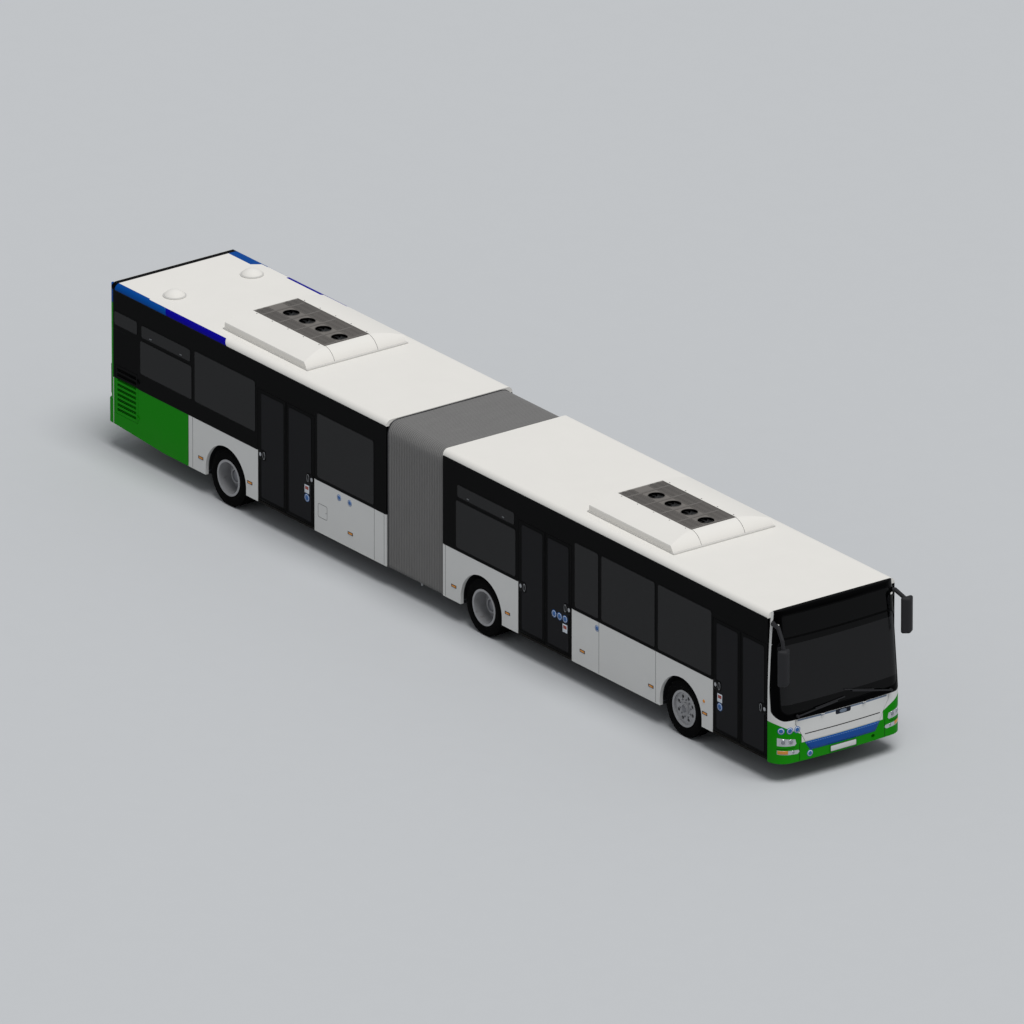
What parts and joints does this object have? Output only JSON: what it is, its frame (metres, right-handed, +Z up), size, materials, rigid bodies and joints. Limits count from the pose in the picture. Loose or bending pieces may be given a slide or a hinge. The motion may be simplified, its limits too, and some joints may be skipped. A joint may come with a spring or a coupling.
{
  "type": "articulated city bus",
  "caption": "Articulated low-floor city bus with a turntable and bellows, twin rear wheels, inward-turning double doors, roof units and steered front wheels.",
  "frame": {"origin": "on the ground, at the middle of the bounding box in X and Y", "axes": "+X points forward along the length, +Y to the left, +Z up"},
  "size_m": [18.1895, 2.7494, 3.082],
  "materials": {
    "tyre": "rough",
    "rim": "satin",
    "door_black": "gloss",
    "seat_fabric": "matt",
    "rail_yellow": "satin",
    "bellows_rubber": "matt",
    "aluminium": "satin",
    "tinted_glass": "gloss",
    "lamp_clear": "gloss",
    "lamp_red": "gloss",
    "black_plastic": "satin",
    "chassis_black": "matt",
    "roof_plastic": "satin",
    "body_white": "gloss"
  },
  "bodies": {
    "front_section": {"front_underframe": "chassis_black", "front_right_wall": "body_white", "front_left_wall": "body_white", "front_roof": "body_white", "front_mask": "body_white", "front_glass": "tinted_glass", "front_side_glass": "tinted_glass", "headlights": "lamp_clear", "mirrors": "black_plastic", "wipers": "black_plastic", "front_aircon": "roof_plastic", "front_axle": "chassis_black", "middle_axle": "chassis_black", "dashboard": "black_plastic", "front_seats": "seat_fabric", "front_handrails": "rail_yellow", "bellows": "bellows_rubber"},
    "rear_section": {"rear_underframe": "chassis_black", "rear_right_wall": "body_white", "rear_left_wall": "body_white", "rear_roof": "body_white", "rear_panel": "body_white", "rear_glass": "tinted_glass", "tail_lights": "lamp_red", "rear_aircon": "roof_plastic", "roof_domes": "roof_plastic", "engine": "chassis_black", "rear_axle": "chassis_black", "rear_seats": "seat_fabric", "rear_handrails": "rail_yellow", "turntable": "aluminium"},
    "bellows_hoop": {"bellows_hoop": "aluminium"},
    "front_flap": {"front_flap": "body_white"},
    "engine_hatch": {"engine_hatch": "body_white"},
    "radiator_door": {"radiator_door": "black_plastic"},
    "knuckle_right": {"knuckle_right": "chassis_black"},
    "knuckle_left": {"knuckle_left": "chassis_black"},
    "wheel_1_right": {"tyre_1_right": "tyre", "rim_1_right": "rim"},
    "wheel_1_left": {"tyre_1_left": "tyre", "rim_1_left": "rim"},
    "door_1_front": {"door_1_front": "door_black"},
    "door_1_rear": {"door_1_rear": "door_black"},
    "wheel_2_right": {"tyre_2_right": "tyre", "rim_2_right": "rim"},
    "wheel_2_left": {"tyre_2_left": "tyre", "rim_2_left": "rim"},
    "door_2_front": {"door_2_front": "door_black"},
    "door_2_rear": {"door_2_rear": "door_black"},
    "wheel_3_right": {"tyre_3_right": "tyre", "rim_3_right": "rim"},
    "wheel_3_left": {"tyre_3_left": "tyre", "rim_3_left": "rim"},
    "door_3_front": {"door_3_front": "door_black"},
    "door_3_rear": {"door_3_rear": "door_black"}
  },
  "joints": [
    {"name": "articulation", "type": "hinge", "parent": "front_section", "child": "rear_section", "pos_m": [-0.755, 0, 0.32], "axis": [0, 0, 1], "range_deg": [-50, 50], "deforming": ["bellows"]},
    {"name": "hoop_turn", "type": "hinge", "parent": "front_section", "child": "bellows_hoop", "pos_m": [-0.755, 0, 0.27], "axis": [0, 0, 1], "range_deg": [-25, 25]},
    {"name": "steer_left", "type": "hinge", "parent": "front_section", "child": "knuckle_left", "pos_m": [6.295, 0.93, 0.478], "axis": [0, 0, 1], "range_deg": [-45, 45]},
    {"name": "steer_right", "type": "hinge", "parent": "front_section", "child": "knuckle_right", "pos_m": [6.295, -0.93, 0.478], "axis": [0, 0, 1], "range_deg": [-45, 45]},
    {"name": "spin_1_right", "type": "hinge", "parent": "knuckle_right", "child": "wheel_1_right", "pos_m": [6.295, -1.06, 0.478], "axis": [0, 1, 0], "continuous": true},
    {"name": "spin_1_left", "type": "hinge", "parent": "knuckle_left", "child": "wheel_1_left", "pos_m": [6.295, 1.06, 0.478], "axis": [0, 1, 0], "continuous": true},
    {"name": "spin_2_right", "type": "hinge", "parent": "front_section", "child": "wheel_2_right", "pos_m": [1.02, -0.916, 0.478], "axis": [0, 1, 0], "continuous": true},
    {"name": "spin_2_left", "type": "hinge", "parent": "front_section", "child": "wheel_2_left", "pos_m": [1.02, 0.916, 0.478], "axis": [0, 1, 0], "continuous": true},
    {"name": "spin_3_right", "type": "hinge", "parent": "rear_section", "child": "wheel_3_right", "pos_m": [-5.845, -0.916, 0.478], "axis": [0, 1, 0], "continuous": true},
    {"name": "spin_3_left", "type": "hinge", "parent": "rear_section", "child": "wheel_3_left", "pos_m": [-5.845, 0.916, 0.478], "axis": [0, 1, 0], "continuous": true},
    {"name": "open_1_rear", "type": "hinge", "parent": "front_section", "child": "door_1_rear", "pos_m": [7.16026, -1.18, 0.41], "axis": [0, 0, 1], "range_deg": [0, 90]},
    {"name": "open_1_front", "type": "hinge", "parent": "front_section", "child": "door_1_front", "pos_m": [8.53626, -1.18, 0.41], "axis": [0, 0, 1], "range_deg": [-90, 0]},
    {"name": "open_2_rear", "type": "hinge", "parent": "front_section", "child": "door_2_rear", "pos_m": [2.027, -1.18, 0.41], "axis": [0, 0, 1], "range_deg": [0, 90]},
    {"name": "open_2_front", "type": "hinge", "parent": "front_section", "child": "door_2_front", "pos_m": [3.399, -1.18, 0.41], "axis": [0, 0, 1], "range_deg": [-90, 0]},
    {"name": "open_3_rear", "type": "hinge", "parent": "rear_section", "child": "door_3_rear", "pos_m": [-4.948, -1.18, 0.41], "axis": [0, 0, 1], "range_deg": [0, 90]},
    {"name": "open_3_front", "type": "hinge", "parent": "rear_section", "child": "door_3_front", "pos_m": [-3.472, -1.18, 0.41], "axis": [0, 0, 1], "range_deg": [-90, 0]},
    {"name": "open_front_flap", "type": "hinge", "parent": "front_section", "child": "front_flap", "pos_m": [8.895, 0, 1.058], "axis": [0, -1, 0], "range_deg": [0, 75]},
    {"name": "open_engine_hatch", "type": "hinge", "parent": "rear_section", "child": "engine_hatch", "pos_m": [-9.055, 0, 1.543], "axis": [0, 1, 0], "range_deg": [0, 80]},
    {"name": "open_radiator_door", "type": "hinge", "parent": "rear_section", "child": "radiator_door", "pos_m": [-8.232, -1.26, 0.66], "axis": [0, 0, 1], "range_deg": [0, 100]}
  ],
  "couplings": [
    {"joint": "hoop_turn", "follows": "articulation", "ratio": 0.5},
    {"joint": "steer_right", "follows": "steer_left", "ratio": 1},
    {"joint": "open_1_front", "follows": "open_1_rear", "ratio": -1},
    {"joint": "open_2_front", "follows": "open_2_rear", "ratio": -1},
    {"joint": "open_3_front", "follows": "open_3_rear", "ratio": -1}
  ]
}
